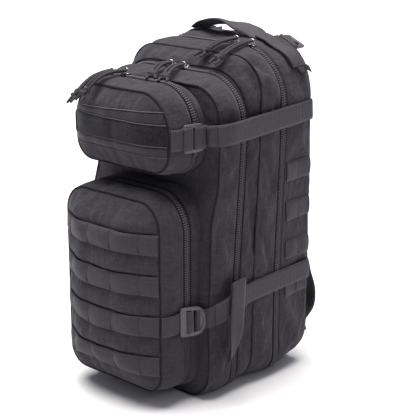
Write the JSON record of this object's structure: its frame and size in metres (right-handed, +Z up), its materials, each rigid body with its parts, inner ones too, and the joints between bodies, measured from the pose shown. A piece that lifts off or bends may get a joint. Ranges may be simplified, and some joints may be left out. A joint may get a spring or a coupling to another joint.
{
  "type": "trauma backpack",
  "caption": "Clamshell medical backpack with stepped compartments, front pockets, webbing rows, compression straps, carry handle and shoulder harness.",
  "frame": {"origin": "on the ground under the middle of the standing pack, in the plane of its flat bottom", "axes": "+Z up, +Y towards the wearer's back, +X to the right seen from the front"},
  "size_m": [0.2366, 0.2901, 0.4357],
  "materials": {
    "pack_fabric": "coated woven nylon, charcoal black",
    "webbing": "ribbed woven webbing, charcoal black",
    "zip_tape": "woven zip tape and nylon coil, black",
    "loop_pile": "matt loop pile, black",
    "lining": "light woven lining, dark grey",
    "air_mesh": "padded spacer mesh, black",
    "shoulder_padding": "padded woven nylon, charcoal black",
    "stiffener": "smooth sheet",
    "buckle_plastic": "satin moulded plastic, dark grey",
    "slider_metal": "dark gunmetal, worn bright at the edges",
    "cord": "braided cord, black"
  },
  "bodies": {
    "pack": {"rear_gusset": "pack_fabric", "main_zip_rear": "zip_tape", "back_panel": "pack_fabric", "back_pads": "air_mesh", "frame_sheet": "stiffener", "inner_sleeve": "lining", "side_webbing": "webbing", "upper_side_straps": "webbing", "lower_side_straps": "webbing", "shoulder_yoke": "pack_fabric", "load_lifter_locks": "buckle_plastic", "corner_tabs": "pack_fabric"},
    "main_front": {"main_front_gusset": "pack_fabric", "main_front_panel": "pack_fabric", "main_zip_front": "zip_tape", "middle_tray": "pack_fabric", "middle_zip_rear": "zip_tape", "organiser_panel": "lining"},
    "middle_front": {"middle_front_gusset": "pack_fabric", "middle_front_panel": "pack_fabric", "middle_zip_front": "zip_tape", "lower_pocket_tray": "pack_fabric", "lower_zip_rear": "zip_tape", "upper_pocket_tray": "pack_fabric", "upper_zip_rear": "zip_tape", "strap_front_runs": "webbing"},
    "lower_lid": {"lower_pocket_gusset": "pack_fabric", "lower_pocket_panel": "pack_fabric", "lower_zip_front": "zip_tape", "front_webbing": "webbing", "lower_strap_stubs": "webbing", "lower_ladder_locks": "buckle_plastic"},
    "upper_lid": {"upper_pocket_gusset": "pack_fabric", "upper_pocket_panel": "pack_fabric", "upper_zip_front": "zip_tape", "loop_field": "loop_pile", "upper_strap_stubs": "webbing", "upper_ladder_locks": "buckle_plastic"},
    "handle": {"carry_handle": "webbing"},
    "harness": {"shoulder_straps": "shoulder_padding", "harness_locks": "buckle_plastic", "harness_webbing": "webbing", "sternum_webbing": "webbing"},
    "sternum_clip": {"sternum_clip": "buckle_plastic"},
    "main_left_slider": {"main_left_slider": "slider_metal"},
    "main_left_pull": {"main_left_pull": "cord"},
    "main_right_slider": {"main_right_slider": "slider_metal"},
    "main_right_pull": {"main_right_pull": "cord"},
    "middle_left_slider": {"middle_left_slider": "slider_metal"},
    "middle_left_pull": {"middle_left_pull": "cord"},
    "middle_right_slider": {"middle_right_slider": "slider_metal"},
    "middle_right_pull": {"middle_right_pull": "cord"},
    "upper_left_slider": {"upper_left_slider": "slider_metal"},
    "upper_left_pull": {"upper_left_pull": "cord"},
    "upper_right_slider": {"upper_right_slider": "slider_metal"},
    "upper_right_pull": {"upper_right_pull": "cord"},
    "lower_high_slider": {"lower_high_slider": "slider_metal"},
    "lower_high_pull": {"lower_high_pull": "cord"},
    "lower_low_slider": {"lower_low_slider": "slider_metal"},
    "lower_low_pull": {"lower_low_pull": "cord"}
  },
  "joints": [
    {"name": "main_open", "type": "hinge", "parent": "pack", "child": "main_front", "pos_m": [0, 0.068, 0], "axis": [1, 0, 0], "range_deg": [0, 25]},
    {"name": "middle_open", "type": "hinge", "parent": "main_front", "child": "middle_front", "pos_m": [0, -0.006, 0], "axis": [1, 0, 0], "range_deg": [0, 25]},
    {"name": "lower_open", "type": "hinge", "parent": "middle_front", "child": "lower_lid", "pos_m": [0, -0.073, 0.016], "axis": [1, 0, 0], "range_deg": [0, 40]},
    {"name": "upper_open", "type": "hinge", "parent": "middle_front", "child": "upper_lid", "pos_m": [0, -0.057, 0.28], "axis": [1, 0, 0], "range_deg": [0, 36]},
    {"name": "handle_swing", "type": "hinge", "parent": "pack", "child": "handle", "pos_m": [0, 0.0995, 0.4215], "axis": [1, 0, 0], "range_deg": [-22, 22]},
    {"name": "harness_swing", "type": "hinge", "parent": "pack", "child": "harness", "pos_m": [0, 0.137, 0.394], "axis": [1, 0, 0], "range_deg": [0, 30]},
    {"name": "sternum_unclip", "type": "slide", "parent": "harness", "child": "sternum_clip", "axis": [1, 0, 0], "range_m": [0, 0.016]},
    {"name": "main_left_zip", "type": "slide", "parent": "main_front", "child": "main_left_slider", "axis": [-1, 0, 0], "range_m": [0, 0.075]},
    {"name": "main_left_pull_swing", "type": "hinge", "parent": "main_left_slider", "child": "main_left_pull", "pos_m": [0.035, 0.064, 0.4214], "axis": [-1, 0, 0], "range_deg": [0, 60]},
    {"name": "main_right_zip", "type": "hinge", "parent": "main_front", "child": "main_right_slider", "pos_m": [0.044, 0.068, 0.348], "axis": [0, 1, 0], "range_deg": [-6, 2]},
    {"name": "main_right_pull_swing", "type": "hinge", "parent": "main_right_slider", "child": "main_right_pull", "pos_m": [0.0586, 0.064, 0.4202], "axis": [-1, 0, 0], "range_deg": [0, 60]},
    {"name": "middle_left_zip", "type": "slide", "parent": "middle_front", "child": "middle_left_slider", "axis": [-1, 0, 0], "range_m": [0, 0.024]},
    {"name": "middle_left_pull_swing", "type": "hinge", "parent": "middle_left_slider", "child": "middle_left_pull", "pos_m": [-0.013, -0.002, 0.3942], "axis": [-1, 0, 0], "range_deg": [0, 60]},
    {"name": "middle_right_zip", "type": "slide", "parent": "middle_front", "child": "middle_right_slider", "axis": [1, 0, 0], "range_m": [0, 0.028]},
    {"name": "middle_right_pull_swing", "type": "hinge", "parent": "middle_right_slider", "child": "middle_right_pull", "pos_m": [0.008, -0.002, 0.3942], "axis": [-1, 0, 0], "range_deg": [0, 60]},
    {"name": "upper_left_zip", "type": "hinge", "parent": "upper_lid", "child": "upper_left_slider", "pos_m": [-0.035, -0.057, 0.335], "axis": [0, -1, 0], "range_deg": [0, 40]},
    {"name": "upper_left_pull_swing", "type": "hinge", "parent": "upper_left_slider", "child": "upper_left_pull", "pos_m": [-0.0538, -0.0614, 0.3872], "axis": [-1, 0, 0], "range_deg": [0, 60]},
    {"name": "upper_right_zip", "type": "slide", "parent": "upper_lid", "child": "upper_right_slider", "axis": [1, 0, 0], "range_m": [0, 0.024]},
    {"name": "upper_right_pull_swing", "type": "hinge", "parent": "upper_right_slider", "child": "upper_right_pull", "pos_m": [-0.03, -0.0614, 0.3902], "axis": [-1, 0, 0], "range_deg": [0, 60]},
    {"name": "lower_high_zip", "type": "hinge", "parent": "lower_lid", "child": "lower_high_slider", "pos_m": [-0.039, -0.073, 0.214], "axis": [0, 1, 0], "range_deg": [0, 70]},
    {"name": "lower_high_pull_swing", "type": "hinge", "parent": "lower_high_slider", "child": "lower_high_pull", "pos_m": [-0.0896, -0.0765, 0.2214], "axis": [0, 1, 0], "range_deg": [0, 50]},
    {"name": "lower_low_zip", "type": "slide", "parent": "lower_lid", "child": "lower_low_slider", "axis": [0, 0, -1], "range_m": [0, 0.02]},
    {"name": "lower_low_pull_swing", "type": "hinge", "parent": "lower_low_slider", "child": "lower_low_pull", "pos_m": [-0.0902, -0.073, 0.1974], "axis": [0, 1, 0], "range_deg": [0, 50]}
  ]
}
